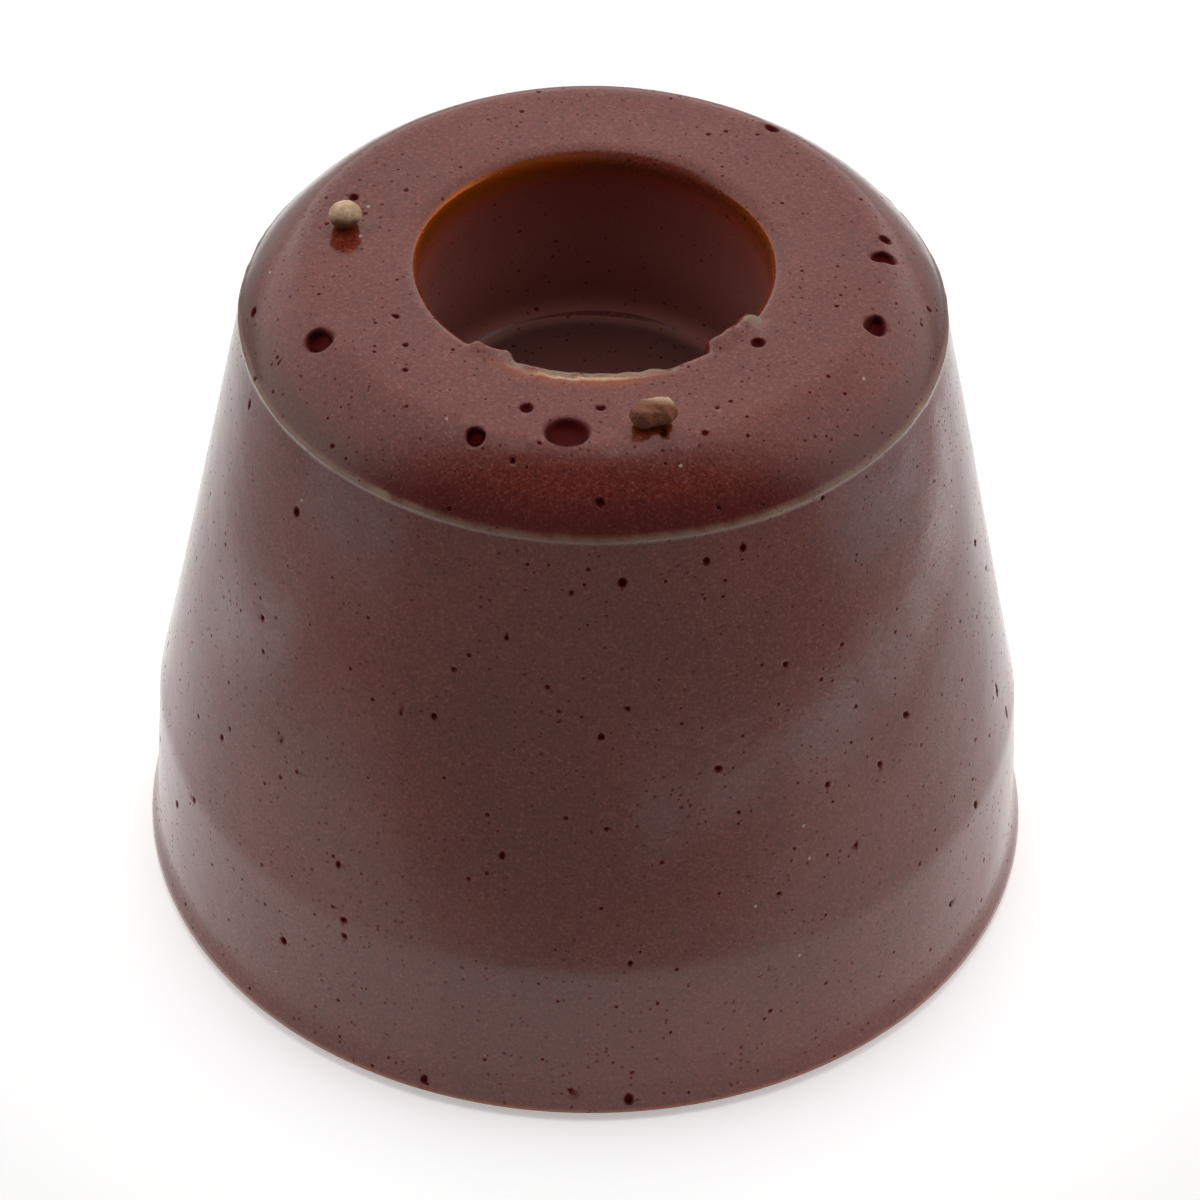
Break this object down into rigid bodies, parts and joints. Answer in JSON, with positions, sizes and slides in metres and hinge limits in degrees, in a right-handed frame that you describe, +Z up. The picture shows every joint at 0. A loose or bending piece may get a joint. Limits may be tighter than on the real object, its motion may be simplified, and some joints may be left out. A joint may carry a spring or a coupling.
{
  "type": "pin insulator",
  "caption": "Small tapered insulator of brown-glazed porcelain with a blind recess in its narrow top and a threaded, cemented pin thimble in its wide foot.",
  "frame": {"origin": "middle of the flat, unglazed foot that the insulator stands on", "axes": "+Z up the turning axis, from the wide foot to the narrow, recessed top; +X to the right and +Y away from a viewer in front, who sees the larger grit crumb near -Y"},
  "size_m": [0.038, 0.038, 0.0312],
  "materials": {
    "porcelain": "matte",
    "brown_glaze": "gloss",
    "zinc": "satin",
    "cement": "matte",
    "cork": "matte",
    "bitumen": "satin",
    "kiln_grit": "matte"
  },
  "bodies": {
    "root": {"porcelain_body": "porcelain", "glaze_coat": "brown_glaze", "pin_thimble": "zinc", "cement_sleeve": "cement", "cushion_disc": "cork", "bitumen_seal": "bitumen", "grit_bead": "kiln_grit", "grit_crumb": "kiln_grit"}
  },
  "joints": []
}
